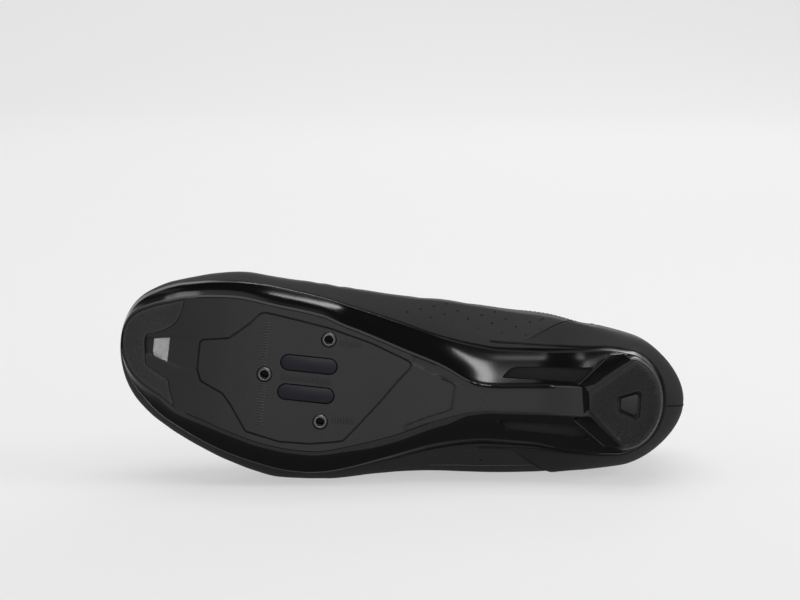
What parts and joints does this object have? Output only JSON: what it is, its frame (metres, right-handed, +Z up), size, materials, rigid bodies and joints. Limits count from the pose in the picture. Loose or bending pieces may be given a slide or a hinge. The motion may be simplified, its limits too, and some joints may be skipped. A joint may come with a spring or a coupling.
{
  "type": "cycling shoe",
  "caption": "Right road cycling shoe for a three-bolt cleat, with a stiff flanged sole, heel and toe pads, a hollow upper and closing straps, lying on its outer side.",
  "frame": {"origin": "middle of the bounding box's bottom face, on the floor under the outer side that the shoe lies on", "axes": "+Z up from the floor to the inner side, -X from heel to toe nearly along the floor, -Y out of the sole's underside"},
  "size_m": [0.305, 0.1308, 0.1111],
  "materials": {
    "nylon": "satin",
    "pad_rubber": "matte",
    "screen_steel": "satin",
    "insert_steel": "satin",
    "plug_plastic": "satin",
    "insole_foam": "matte",
    "upper_synthetic": "matte",
    "counter_film": "satin",
    "tongue_fabric": "matte",
    "strap_synthetic": "matte"
  },
  "bodies": {
    "root": {"sole": "nylon", "toe_pad": "pad_rubber", "heel_pad": "pad_rubber", "toe_screen": "screen_steel", "cleat_insert_front": "insert_steel", "cleat_insert_inner": "insert_steel", "cleat_insert_outer": "insert_steel", "slot_plug_inner": "plug_plastic", "slot_plug_outer": "plug_plastic", "insole": "insole_foam", "upper": "upper_synthetic", "heel_counter": "counter_film", "tongue": "tongue_fabric", "strap_front": "strap_synthetic", "strap_middle": "strap_synthetic", "strap_rear": "strap_synthetic"}
  },
  "joints": []
}
